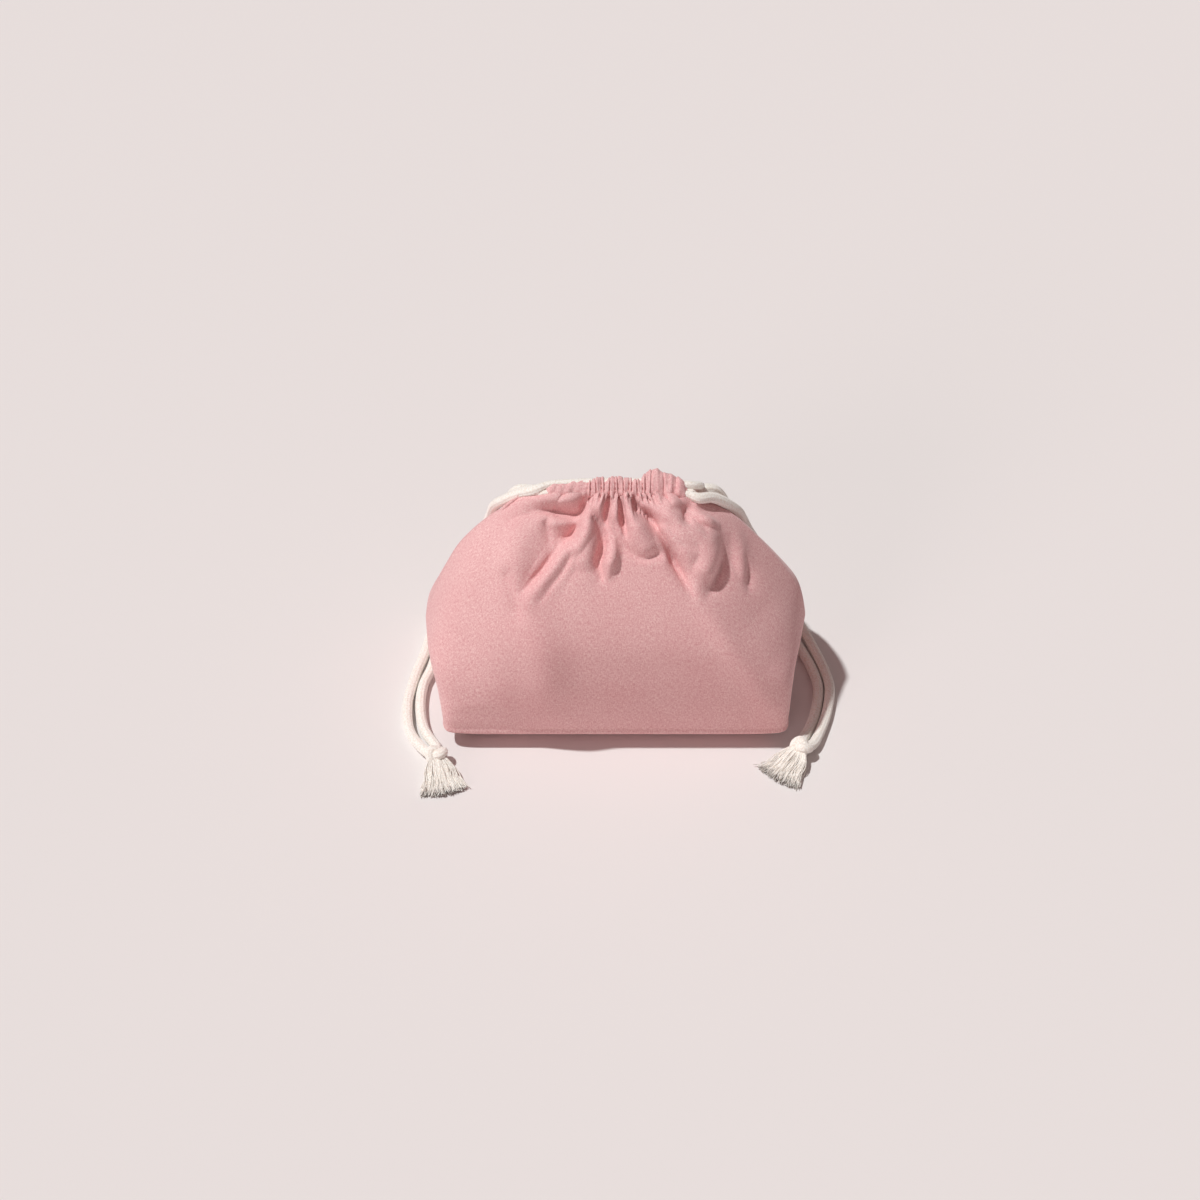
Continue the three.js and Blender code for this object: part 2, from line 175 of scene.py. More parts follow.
# Sockets of the Mix node that share their names: its numbers, and its colours with their result
NUMBER_A, NUMBER_B = 2, 3
COLOUR_A, COLOUR_B, COLOUR_RESULT = 6, 7, 2


def linear(code):
    """An sRGB hex value as linear red, green, blue and alpha."""
    parts = [int(code[i:i + 2], 16) / 255 for i in (1, 3, 5)]
    return [v / 12.92 if v <= 0.04045 else ((v + 0.055) / 1.055) ** 2.4 for v in parts] + [1.0]


def add_node(material, kind, settings=None, links=None):
    """Adds a shader node, sets its properties and inputs, and links its inputs to other sockets."""
    node = material.node_tree.nodes.new(kind)
    for name, value in (settings or {}).items():
        if isinstance(name, str) and hasattr(node, name) and name not in node.inputs:
            setattr(node, name, value)
        else:
            node.inputs[name].default_value = value
    for name, socket in (links or {}).items():
        material.node_tree.links.new(socket, node.inputs[name])
    return node


def new_material(name):
    material = bpy.data.materials.new(name)
    material.use_nodes = True
    material.node_tree.nodes.clear()
    return material


def finish_material(material, settings, links=None):
    """Ends a material in one shader with these inputs."""
    shader = add_node(material, "ShaderNodeBsdfPrincipled", settings, links)
    add_node(material, "ShaderNodeOutputMaterial", links={"Surface": shader.outputs[0]})
    return material


# Meshes

def grid_faces(rows, columns, wrap=False):
    """Quads of a grid of rows by columns points, closed across the columns if wrap is true."""
    i = np.arange(rows - 1)[:, None]
    j = np.arange(columns if wrap else columns - 1)[None, :]
    k = (j + 1) % columns
    below, above = i * columns, (i + 1) * columns
    quads = join(below + j, below + k, above + k, above + j)
    return quads.reshape(-1, 4)


def make_mesh(name, points, faces, uv=None, smooth=True):
    """A mesh object from arrays: points (n, 3), faces (m, 3 or 4) and a UV for each point."""
    mesh = bpy.data.meshes.new(name)
    points = np.asarray(points, float).reshape(-1, 3)
    faces = np.asarray(faces, int)
    size = faces.shape[1]
    mesh.vertices.add(len(points))
    mesh.vertices.foreach_set("co", points.ravel())
    mesh.loops.add(faces.size)
    mesh.loops.foreach_set("vertex_index", faces.ravel())
    mesh.polygons.add(len(faces))
    mesh.polygons.foreach_set("loop_start", np.arange(0, faces.size, size))
    mesh.polygons.foreach_set("use_smooth", np.full(len(faces), smooth))
    if uv is not None:
        layer = mesh.uv_layers.new(name="UVMap")
        layer.data.foreach_set("uv", np.asarray(uv, float).reshape(-1, 2)[faces.ravel()].ravel())
    mesh.update()
    mesh.validate()
    piece = bpy.data.objects.new(name, mesh)
    bpy.context.scene.collection.objects.link(piece)
    return piece


def carried_frames(line):
    """Two unit vectors square to the line at each of its points, carried along it without twist. The
    first starts as close to the mouth's across direction as it can."""
    tangent = unit(np.gradient(line, axis=0))
    across = np.array((0, math.cos(MOUTH_LEAN), -math.sin(MOUTH_LEAN)))
    sides = [unit(across - tangent[0] * np.dot(across, tangent[0]))]
    for after in tangent[1:]:
        sides.append(unit(sides[-1] - after * np.dot(sides[-1], after)))
    side = np.array(sides)
    return side, np.cross(tangent, side)


# The cords' knit: wales round the cord, the length of a stitch, how far its legs slope, the share of
# the relief that the legs make, the relief as a share of the radius, and how much further it swells
KNIT_WALES = 9
KNIT_STITCH = 1.7 * MM
LEG_SLOPE = 0.9
LEG_SHARE = 0.28
KNIT_RELIEF_SHARE = 0.075
KNIT_SWELL = 1.4


def knitted_tube(line, half_widths, sides=54):
    """A knitted tube along a line. Round each ring the radius swells on every wale, and along it on
    every stitch, whose two legs slope up towards the wale's middle as a V. half_widths holds each
    ring's two half sizes. The ends close on their middle points."""
    side, up = carried_frames(line)
    run = run_along(line)[:, None]
    angle = full_circle(sides)[None, :]
    wale = (KNIT_WALES * angle / (2 * math.pi)) % 1 - 0.5
    leg = np.cos(2 * math.pi * (run / KNIT_STITCH + LEG_SLOPE * np.abs(wale)))
    swell = np.cos(math.pi * wale) ** 0.6 * (1 - LEG_SHARE + LEG_SHARE * leg)
    radius = 1 - KNIT_RELIEF_SHARE + KNIT_RELIEF_SHARE * KNIT_SWELL * swell
    half = np.broadcast_to(np.asarray(half_widths, float), (len(line), 2))
    ring = (
        line[:, None]
        + (half[:, 0, None] * radius * np.cos(angle))[..., None] * side[:, None]
        + (half[:, 1, None] * radius * np.sin(angle))[..., None] * up[:, None]
    )
    uv = join(angle / (2 * math.pi), run)
    points = np.vstack([ring.reshape(-1, 3), line[:1], line[-1:]])
    uv = np.vstack([uv.reshape(-1, 2), [[0.5, 0]], [[0.5, float(run[-1, 0])]]])
    quads = grid_faces(len(line), sides, wrap=True)
    j = np.arange(sides)
    k = (j + 1) % sides
    last = (len(line) - 1) * sides
    foot = np.full(sides, len(line) * sides)
    triangles = np.vstack([
        quads[:, [0, 1, 2]],
        quads[:, [0, 2, 3]],
        np.stack([foot, k, j], axis=1),
        np.stack([foot + 1, last + j, last + k], axis=1),
    ])
    return points, triangles, uv


# Camera and lights

scene = bpy.context.scene
camera_data = bpy.data.cameras.new("camera")
camera_data.lens = CAMERA_LENS
camera_data.sensor_width = 36
camera = bpy.data.objects.new("camera", camera_data)
scene.collection.objects.link(camera)
towards_camera = np.array((0, -math.cos(CAMERA_ELEVATION), math.sin(CAMERA_ELEVATION)))
camera.location = CAMERA_TARGET + CAMERA_DISTANCE * towards_camera
camera.rotation_euler = (math.pi / 2 - CAMERA_ELEVATION, 0, 0)
scene.camera = camera


def far_light(name, travel, strength, colour, spread):
    """A light so far away that its rays are parallel: it travels along the given direction."""
    data = bpy.data.lights.new(name, "SUN")
    data.energy = strength
    data.color = colour
    data.angle = math.radians(spread)
    light = bpy.data.objects.new(name, data)
    scene.collection.objects.link(light)
    x, y, z = unit(travel)
    light.rotation_euler = (math.acos(-z), 0, math.atan2(-x, y))


for name, values in LIGHTS.items():
    far_light(name, *values)

world = bpy.data.worlds.new("sky")
scene.world = world
world.use_nodes = True
world.node_tree.nodes["Background"].inputs["Color"].default_value = SKY_COLOUR
world.node_tree.nodes["Background"].inputs["Strength"].default_value = SKY_STRENGTH
scene.view_settings.view_transform = "Standard"


# Materials

def noise(material, vector, scale, detail, roughness=0.5):
    """Soft noise with the given number of cells a metre, read at a vector."""
    settings = {"Scale": scale, "Detail": detail, "Roughness": roughness}
    return add_node(material, "ShaderNodeTexNoise", settings, {"Vector": vector}).outputs["Fac"]


def ramp(material, value, low, high, most=1.0):
    """A value that rises from 0 at low to most at high, and is level beyond them."""
    settings = {"From Min": low, "From Max": high, "To Max": most}
    return add_node(material, "ShaderNodeMapRange", settings, {"Value": value}).outputs[0]


def mix_numbers(material, share, first, second):
    """Two numbers mixed, with a fixed share of the second."""
    settings = {"data_type": "FLOAT", "Factor": share}
    return add_node(material, "ShaderNodeMix", settings, {NUMBER_A: first, NUMBER_B: second}).outputs[0]


def mix_colours(material, factor, first, code):
    """A colour, given by its hex value or its socket, with a second one laid over it by a factor."""
    settings = {"data_type": "RGBA", COLOUR_B: linear(code)}
    links = {"Factor": factor}
    if isinstance(first, str):
        settings[COLOUR_A] = linear(first)
    else:
        links[COLOUR_A] = first
    return add_node(material, "ShaderNodeMix", settings, links).outputs[COLOUR_RESULT]


def matt_cotton(material, colour, height, relief, settings):
    """Cotton as the eye sees it: no gloss, a sheen of loose fibres, and a relief 0.3 mm deep."""
    raised = {"Strength": relief, "Distance": 0.3 * MM}
    bump = add_node(material, "ShaderNodeBump", raised, {"Height": height})
    settings["Specular IOR Level"] = 0.15
    return finish_material(material, settings, {"Base Color": colour, "Normal": bump.outputs["Normal"]})


# The cord's spots, which set its relief and its painted shade in the deeper stitches, are about 0.9 mm,
# half a stitch
STITCH_DEPTH_AND_SHADE_SCALE = 1100.0


def cotton_cord_material():
    """Soft knitted cotton: matt and ivory, with a dusty sheen, and faint darker spots where stitches lie
    deeper: painted shade in the knit's hollows."""
    material = new_material("knitted_cotton_cord")
    stitch_depth_and_shade = noise(material, add_node(material, "ShaderNodeTexCoord").outputs["Object"], STITCH_DEPTH_AND_SHADE_SCALE, 3.0)
    # The colour darkens where the relief is lower: painted shade in the deeper stitches
    tint = mix_colours(material, ramp(material, stitch_depth_and_shade, 0.38, 0.55), "#f3eade", "#fffdf6")
    sheen = {"Roughness": 0.95, "Sheen Weight": 0.7, "Sheen Roughness": 0.6}
    return matt_cotton(material, tint, stitch_depth_and_shade, 0.35, sheen)


# Threads of the canvas, somewhat coarser than they are so that they show from afar, and cells of its
# grain and its dye, about 0.7 mm and 29 mm
THREAD_WIDTH = 0.65 * MM
SLUB_LENGTH = 2.2 * MM
GRAIN_SCALE = 1500.0
DYE_SCALE = 35.0


def canvas_material():
    """Plain-woven cotton canvas: matt, with upright and level threads of uneven thickness that show
    as a fine broken grain, a few pale flecks of bare cotton, and a slow mottling of the dye."""
    material = new_material("pink_cotton_canvas")
    place = add_node(material, "ShaderNodeTexCoord").outputs
    fine, coarse = 1 / THREAD_WIDTH, 1 / SLUB_LENGTH
    threads = []
    for scale in ((fine, coarse, 1.0), (coarse, fine, 1.0)):
        stretch = add_node(material, "ShaderNodeMapping", {"Scale": scale}, {"Vector": place["UV"]})
        threads.append(noise(material, stretch.outputs[0], 1.0, 3.0, 0.6))
    grain = noise(material, place["Object"], GRAIN_SCALE, 2.0)
    dye = noise(material, place["Object"], DYE_SCALE, 2.0)
    rough = mix_numbers(material, 0.25, mix_numbers(material, 0.4, *threads), grain)
    tint = mix_colours(material, ramp(material, rough, 0.40, 0.60), "#dda1a4", "#f7d1ce")
    dyed = mix_colours(material, ramp(material, dye, 0.35, 0.65, 0.14), tint, "#d78f94")
    flecked = mix_colours(material, ramp(material, grain, 0.60, 0.70, 0.45), dyed, "#fbe0da")
    sheen = {"Roughness": 0.85, "Sheen Weight": 0.2, "Sheen Roughness": 0.5}
    return matt_cotton(material, flecked, rough, 0.6, sheen)


def floor_material():
    """Smooth pale painted board: even and matt."""
    settings = {"Base Color": linear("#ebe7e6"), "Roughness": 0.9, "Specular IOR Level": 0.1}
    return finish_material(new_material("pale_painted_board"), settings)


MATERIALS = {"cord": cotton_cord_material(), "canvas": canvas_material()}
CLOTH_THICKNESS = 0.8 * MM


def add_piece(name, node, body, slot, points, faces, uv=None, smooth=True):
    """A mesh with its slot and that slot's material. It rides a body and replaces a node."""
    piece = make_mesh(name, points, faces, uv, smooth)
    piece.data.materials.append(MATERIALS[slot])
    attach(piece, body)
    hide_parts(node)
    return piece


def thicken(piece):
    """Makes a surface a cloth: its own thickness, added on the inner side."""
    wall = piece.modifiers.new("thickness", "SOLIDIFY")
    wall.thickness = CLOTH_THICKNESS
    wall.offset = -1


FLOOR_REACH = 6.0
corners = np.array([(-1, -1, 0), (1, -1, 0), (1, 1, 0), (-1, 1, 0)]) * FLOOR_REACH
floor = make_mesh("floor", corners, [[0, 1, 2, 3]], smooth=False)
floor.data.materials.append(floor_material())

# Cords: their routes in millimetres, after the source's own, laid against this cloth where they lean
# on it
RIGHT_FRONT_ROUTE = [
    (51.5, 1.4, 141), (58.6, 5.3, 134.4), (66.5, 11.8, 122.9), (70.3, 20.1, 110.1),
    (74.4, 28.5, 95.3), (80, 37.3, 78.7), (84.8, 45.9, 62.1), (88, 53.2, 43.8), (91, 56.4, 27.6),
    (98.5, 58, 14.5), (107.2, 52.5, 6.6), (114.4, 37.5, 3.6), (119.5, 21, 3.4), (123.5, 6, 3.4),
    (125.2, -8, 3.4), (122.2, -27, 3.4), (117.2, -42.5, 3.6), (111.6, -54.7, 5),
]
RIGHT_BACK_ROUTE = [
    (53, 13, 137), (58.5, 16.5, 127.6), (61, 23.4, 113.2), (64.7, 32, 97.8), (69, 40.2, 81.6),
    (73.5, 48.8, 64.5), (77.3, 55.1, 47.2), (80.8, 58.1, 30.2), (86, 57.4, 16), (92.5, 56.6, 7),
    (99.5, 51, 3.8), (105.5, 38, 3.4), (111, 23, 3.4), (116, 8, 3.4), (118.5, -8, 3.4),
    (115.3, -28, 3.4), (110.3, -42.5, 3.6), (106.2, -51.2, 5),
]
LEFT_FRONT_ROUTE = [
    (-52, 3.4, 142.4), (-60, 7, 135.2), (-66.5, 12.6, 126.4), (-69.8, 21, 112), (-73.7, 28.7, 96.6),
    (-78.9, 37, 79.9), (-83.2, 45.8, 63.2), (-87.1, 53.3, 44.8), (-90, 56, 28), (-97.5, 58.2, 14.5),
    (-106, 52.5, 6.6), (-110.4, 37, 3.6), (-113.5, 20, 3.4), (-117, 5, 3.4), (-119.3, -8, 3.4),
    (-120.6, -22, 3.4), (-117.5, -44, 3.6), (-107.2, -60.2, 5),
]
LEFT_BACK_ROUTE = [
    (-53, 13, 136.8), (-58.5, 16.2, 129), (-60.6, 24, 116.4), (-64, 32, 100.4), (-68.8, 39.8, 83.2),
    (-73.5, 48, 65.8), (-77.3, 55, 48.2), (-80.6, 58.1, 30.2), (-85.2, 57.6, 16), (-91.5, 56.6, 7),
    (-98.5, 51.5, 3.8), (-102.5, 38, 3.4), (-106, 22, 3.4), (-108.5, 8, 3.4), (-112.4, -6, 3.4),
    (-113, -24, 3.4), (-109.5, -42, 3.6), (-101.6, -57.2, 5),
]
RIGHT_KNOT = np.array((105.0, -59.0, 7.0)) * MM
LEFT_KNOT = np.array((-101.0, -65.0, 7.0)) * MM
RING_STEP = 0.45 * MM
# From the casing's end outward: where a cord has all of its flare, and where it is round again
FLARE_REACH = 6 * MM
ROUND_REACH = 7 * MM


def tail(side, face, hand, across, strand, flare, route, knot_place):
    """One free end of a cord: oval where the casing squeezes it, round outside, into its knot.
    Flare is how far it rises or falls as it leaves the casing. A lower strand runs level inside, so
    that it clears the other cord's turn when it slides out."""
    half_casing = CASING_LENGTH / 2
    places = [
        (half_casing - RUN_IN_CASING, 0),
        (half_casing - RUN_IN_CASING / 2, 0),
        (half_casing - 1 * MM, 0.1 * flare),
        (half_casing + FLARE_REACH, flare),
    ]
    start = np.array([(hand * x, across, strand + rise) for x, rise in places])
    start[:, 2] -= SINK_MIDDLE + SINK_ENDS if strand == LOWER_STRAND else sink(start[:, 0])
    route = np.array(route) * MM
    end = (route[-1] + knot_place) / 2
    rough = smooth_line(np.vstack([in_mouth(start), route, end]), 600)
    line = even_line(rough, int(line_length(rough) / RING_STEP))
    free = smooth_step(np.abs(line[:, 0]) - half_casing, 0, ROUND_REACH)[:, None]
    half = SQUEEZED_HALF * (1 - free) + CORD_DIAMETER / 2 * free
    name, node, body = f"{side}_{face}_cord", f"{side}_{face}_tail", f"{side}_drawcord"
    piece = add_piece(name, node, body, "cord", *knitted_tube(line, half))
    exit_place = in_mouth(sunk([(hand * half_casing, across, strand)]))[0]


# The knot: its size, its cord's radius, and its length and height as shares of its size
KNOT_RADIUS = 4.3 * MM
KNOT_CORD = 2.75 * MM
KNOT_LENGTH_SHARE = 1.5
KNOT_HEIGHT_SHARE = 0.95


def heading_frame(heading):
    """Unit vectors along a heading on the ground in degrees, to its left and up."""
    c, s = math.cos(math.radians(heading)), math.sin(math.radians(heading))
    return np.array(((c, s, 0), (-s, c, 0), (0, 0, 1.0)))


def knot(side, place, heading):
    """An overhand knot pulled tight: a trefoil curve whose axis lies along the heading. Its turns
    go round the axis twice while they weave back and forth along it three times."""
    t = np.linspace(0, 2 * math.pi, 260)
    along, left, up = heading_frame(heading)
    sway = (np.sin(t) + 2 * np.sin(2 * t)) / 3
    rise = (np.cos(t) - 2 * np.cos(2 * t)) / 3
    run = -np.sin(3 * t) * KNOT_LENGTH_SHARE / 3
    line = place + KNOT_RADIUS * (
        sway[:, None] * left + rise[:, None] * KNOT_HEIGHT_SHARE * up + run[:, None] * along
    )
    tube = knitted_tube(even_line(line, 190), KNOT_CORD)
    return add_piece(f"{side}_overhand", f"{side}_knot", f"{side}_drawcord", "cord", *tube)


TASSEL_LENGTH = 24 * MM
TASSEL_STRANDS = 900
STRAND_RADIUS = 0.25 * MM
STRAND_SIDES = 4
STRAND_RINGS = 9
# Shares by which a strand may be shorter, by chance and towards the fan's edge
CHANCE_SHARE, EDGE_SHARE = 0.26, 0.10
# The fan's angle to either side and its scatter, in radians
FAN_ANGLE, FAN_SCATTER = 0.42, 0.05
# The bundle at the knot: half its width, its lowest strand and its height
ROOT_HALF_WIDTH, ROOT_LOW, ROOT_HEIGHT = 3.6 * MM, 3.2 * MM, 6.2 * MM
# The fan's end: its lowest strand, its height, and how much higher its middle is
END_LOW, END_HEIGHT, MIDDLE_HEIGHT = 0.35 * MM, 2.6 * MM, 1.6 * MM
# Swings of a strand: a long and a short one sideways, one up and down, and a bow outward
WAVE, CURL, BOB, BOW = 0.5 * MM, 0.25 * MM, 0.3 * MM, 2.0 * MM
SWING_PACE = 6.3


def tassel(side, place, heading, seed):
    """The cord's frayed end: strands that leave the knot together and fan out over the ground.
    A strand runs along its own direction, sinks from the knot's height to its own height, and
    swings from side to side in a slow wave and a short curl."""
    rng = np.random.default_rng(seed)
    along, left, up = heading_frame(heading)
    each = (TASSEL_STRANDS, 1)
    t = np.linspace(0, 1, STRAND_RINGS)[None, :]
    spread = rng.uniform(-1, 1, each)
    layer = rng.uniform(0, 1, each)
    chance = rng.random(each)
    reach = TASSEL_LENGTH * (1 - CHANCE_SHARE + CHANCE_SHARE * chance - EDGE_SHARE * np.abs(spread))
    angle = spread * FAN_ANGLE + FAN_SCATTER * rng.normal(size=each)
    run = -1 * MM + reach * t
    wave = WAVE * np.sin(SWING_PACE * (t * rng.uniform(0.6, 1.2, each) + rng.random(each)))
    curl = CURL * np.sin(SWING_PACE * (t * rng.uniform(2.0, 3.2, each) + rng.random(each)))
    bow = spread * BOW * np.sin(math.pi * np.minimum(t * 1.6, 1))
    sway = spread * ROOT_HALF_WIDTH + np.tan(angle) * reach * t + (wave + curl) * t + bow
    high = ROOT_LOW + layer * ROOT_HEIGHT
    low = END_LOW + layer * (END_HEIGHT + MIDDLE_HEIGHT * (1 - np.abs(spread)))
    fall = 1 - (1 - t) ** 1.7
    bob = BOB * t * np.sin(SWING_PACE * (2 * t + rng.random(each)))
    rise = np.maximum(high * (1 - fall) + low * fall + bob, 0.3 * MM)
    middle = place * np.array((1, 1, 0)) + along * 3.2 * MM
    line = middle + run[..., None] * along + sway[..., None] * left + rise[..., None] * up
    tangent = unit(np.gradient(line, axis=1))
    across = unit(np.cross(tangent, up))
    over = np.cross(across, tangent)
    turn = full_circle(STRAND_SIDES)
    radius = STRAND_RADIUS * rng.uniform(0.8, 1.5, each) * (1 - 0.25 * t**3)
    circle = np.cos(turn)[:, None] * across[:, :, None] + np.sin(turn)[:, None] * over[:, :, None]
    points = line[:, :, None] + radius[..., None, None] * circle
    ring_faces = grid_faces(STRAND_RINGS, STRAND_SIDES, wrap=True)
    last = (STRAND_RINGS - 1) * STRAND_SIDES
    caps = np.array([[0, 1, 2, 3], [last + 3, last + 2, last + 1, last]])
    one = np.vstack([ring_faces, caps])[:, ::-1]
    first = np.arange(TASSEL_STRANDS)[:, None, None] * STRAND_RINGS * STRAND_SIDES
    faces = (one + first).reshape(-1, 4)
    return add_piece(f"{side}_fringe", f"{side}_tassel", f"{side}_drawcord", "cord", points, faces)


def loop(side, hand, strand):
    """The part of a cord that stays in the casings: through one tunnel, round the far end of the
    mouth in a half circle, and back through the other tunnel."""
    far = CASING_LENGTH / 2
    near = far - RUN_IN_CASING - 0.3 * MM
    turn = (BACK_ACROSS - FRONT_ACROSS) / 2
    middle = (BACK_ACROSS + FRONT_ACROSS) / 2
    angle = np.linspace(0, math.pi, 25)
    leg = np.linspace(near, -far, 20)[:-1]
    x = np.concatenate([leg, -far - turn * np.sin(angle), leg[::-1]])
    there, back = np.full(len(leg), FRONT_ACROSS), np.full(len(leg), BACK_ACROSS)
    across = np.concatenate([there, middle - turn * np.cos(angle), back])
    line = in_mouth(sunk(join(hand * x, across, strand)))
    line = even_line(line, int(line_length(line) / RING_STEP))
    add_piece(f"{side}_cord_turn", f"{side}_cord_loop", "bag", "cord", *knitted_tube(line, SQUEEZED_HALF))


# Each side: its hand, its cord's height in the casings, its knot's place and heading, its tassel's
# seed, and the flares in millimetres and the routes of its front and back strands
SIDES = {
    "right": (1, LOWER_STRAND, RIGHT_KNOT, 232, 3, (-2.6, RIGHT_FRONT_ROUTE), (2.4, RIGHT_BACK_ROUTE)),
    "left": (-1, UPPER_STRAND, LEFT_KNOT, 283, 8, (-2.6, LEFT_FRONT_ROUTE), (-2.0, LEFT_BACK_ROUTE)),
}
for side, (hand, strand, place, heading, seed, front, back) in SIDES.items():
    ends = [knot(side, place, heading), tassel(side, place, heading, seed)]
    for face, across, (flare, route) in (("front", FRONT_ACROSS, front), ("back", BACK_ACROSS, back)):
        tail(side, face, hand, across, strand, flare * MM, route, place)
    loop(side, hand, strand)


# The cloth panels: a smooth wall, its folds, and a relaxation that makes them cloth

# Guide curves of the walls in millimetres, from the sewn edge of the base up to the stitch line: y and
# z up the middle of the front and the back, and x, y and z up the side seams
FRONT_GUIDE = [(-52.5, 12.6), (-54.5, 35), (-55, 60), (-52.5, 82), (-43.5, 103), (-26, 126), (-4, 149)]
BACK_GUIDE = [(52.5, 12.6), (56.7, 35), (54, 60), (47.2, 88), (36.7, 110), (24.2, 126), (12.8, 133.9)]
RIGHT_GUIDE = [
    (97.5, 0, 12.6), (102.6, 0, 33), (108, 0, 53), (107, 0, 62), (103.5, 0.2, 75), (95.2, 0.6, 90),
    (81, 1.2, 109), (61, 2.6, 130), (39, 4.4, 140.4),
]
LEFT_GUIDE = [
    (-97.5, 0, 12.6), (-103, 0, 33), (-108.5, 0, 52), (-107, 0, 60), (-102.8, 0.2, 73), (-96, 0.6, 90),
    (-86, 1.2, 109), (-64, 2.6, 131), (-39, 4.4, 140.4),
]
# At even steps up each half of a panel, left and right: how square its rows are, where 2 is round, and
# how much of the corner a flat plane takes away, where 0 is none
FRONT_SQUARENESS = ([24, 8, 4.6, 3.4, 2.8, 2.4, 3.5], [24, 12, 8, 6, 4.5, 2.8, 3.5])
FRONT_FACET_SHARES = ([0, 0.03, 0.07, 0.08, 0.04, 0, 0], [0, 0.05, 0.14, 0.27, 0.32, 0.12, 0])
BACK_SQUARENESS = ([24, 5.5, 3.0, 2.0, 1.75, 1.8, 3.1],) * 2
BACK_FACET_SHARES = ([0] * 7,) * 2
PANEL_WIDTH = 300
PANEL_HEIGHT = 158
FINE_COLUMNS = 288
FINE_ROWS = 144


def between(values, share):
    """The value at a share of the way along a smooth curve through evenly spaced values."""
    line = smooth_line([(i, v) for i, v in enumerate(values)], 400)
    return np.interp(np.asarray(share, float) * (len(values) - 1), line[:, 0], line[:, 1])


def smooth_wall(middle_guide, squareness, facets, columns, rows):
    """One panel without folds, in metres, from the left seam to the right one. Each row runs from
    the side guides to the middle guide as (sin a)^n + (cos a + f sin a)^n = 1/r^n, half a
    superellipse whose corner is cut off by a flat facet of share f. The left and right halves each
    have their own n and f, and the points of a row are evenly spaced."""
    middle = smooth_line([(0, y, z) for y, z in middle_guide], rows + 1)
    right = smooth_line(RIGHT_GUIDE, rows + 1)
    left = smooth_line(LEFT_GUIDE, rows + 1)
    rise = np.linspace(0, 1, rows + 1)
    angle = np.linspace(math.pi, 0, 1441)[None, :]
    c, s = np.cos(angle), np.sin(angle)
    square, facet = (
        np.where(c < 0, between(on_left, rise)[:, None], between(on_right, rise)[:, None])
        for on_left, on_right in (squareness, facets)
    )
    reach = (s**square + (np.abs(c) + np.maximum(facet, 0) * s) ** square) ** (-1 / square)
    along = c * reach
    bulge = (s * reach)[..., None]
    share = (along[..., None] + 1) / 2
    side = left[:, None] * (1 - share) + right[:, None] * share
    dense = side + (middle[:, None] - side) * bulge
    dense[..., 0] = np.where(along < 0, -left[:, :1] * along, right[:, :1] * along)
    return np.stack([even_line(row, columns + 1) for row in dense]) * MM


def smooth_tube(columns, rows):
    """Both panels as one closed tube: the front from the left seam to the right one, then the back
    from the right seam to the left one."""
    front = smooth_wall(FRONT_GUIDE, FRONT_SQUARENESS, FRONT_FACET_SHARES, columns, rows)
    back = smooth_wall(BACK_GUIDE, BACK_SQUARENESS, BACK_FACET_SHARES, columns, rows)[:, ::-1]
    return np.concatenate([front[:, :-1], back[:, :-1]], axis=1)


def outward(wall):
    """Unit normals of a closed tube of points, pointing out."""
    across = np.roll(wall, -1, axis=1) - np.roll(wall, 1, axis=1)
    up = np.gradient(wall, axis=0)
    normal = np.cross(across, up)
    return normal / np.maximum(np.linalg.norm(normal, axis=2, keepdims=True), 1e-12)


# A fold is a line on a panel: its heights over the smooth wall at its start, middle and end, its half
# width, and its places on the flat cloth, across from the left seam and up, all in millimetres.
# Ridges join into lobes, and creases are cut between them.
FRONT_RIDGES = [
    (4, 7, 3, 6.5, [(104, 158), (69, 158), (39, 154), (17, 149), (8, 139)]),
    (3, 5, 2, 4, [(100, 141), (83, 142), (63, 142), (45, 141)]),
    (2, 4, 1.5, 9, [(48, 137), (49, 132), (54, 124), (64, 112), (73, 101)]),
    (6, 10, 8, 7.5, [(121, 158), (116, 152), (114, 144), (112, 136), (109, 128)]),
    (8, 6.5, 2, 7, [(110, 131), (103, 121), (95, 110), (87, 97)]),
    (6, 5, 1, 10, [(117, 135), (122, 125), (124, 114)]),
    (5, 7, 4, 4.2, [(147, 132), (148, 125), (146, 119), (144, 114)]),
    (4, 7, 5, 4.5, [(148, 157), (148, 150), (149, 142), (156, 137)]),
    (5, 9, 6, 9.5, [(170, 157), (173, 148), (179, 139), (184, 130)]),
    (4, 8, 8, 8, [(188, 151), (213, 144), (230, 135), (242, 125)]),
    (8, 8, 1, 10, [(242, 125), (240, 117), (233, 111), (222, 103)]),
    (5, 8.5, 3, 13, [(198, 145), (213, 136), (224, 125), (226, 113)]),
    (3, 6, 3, 3.5, [(252, 143), (259, 138), (266, 133)]),
    (4, 6, 3, 7, [(214, 158), (233, 154), (241, 148)]),
    (1, 2.5, 0.5, 6, [(278, 118), (269, 106), (260, 93)]),
]
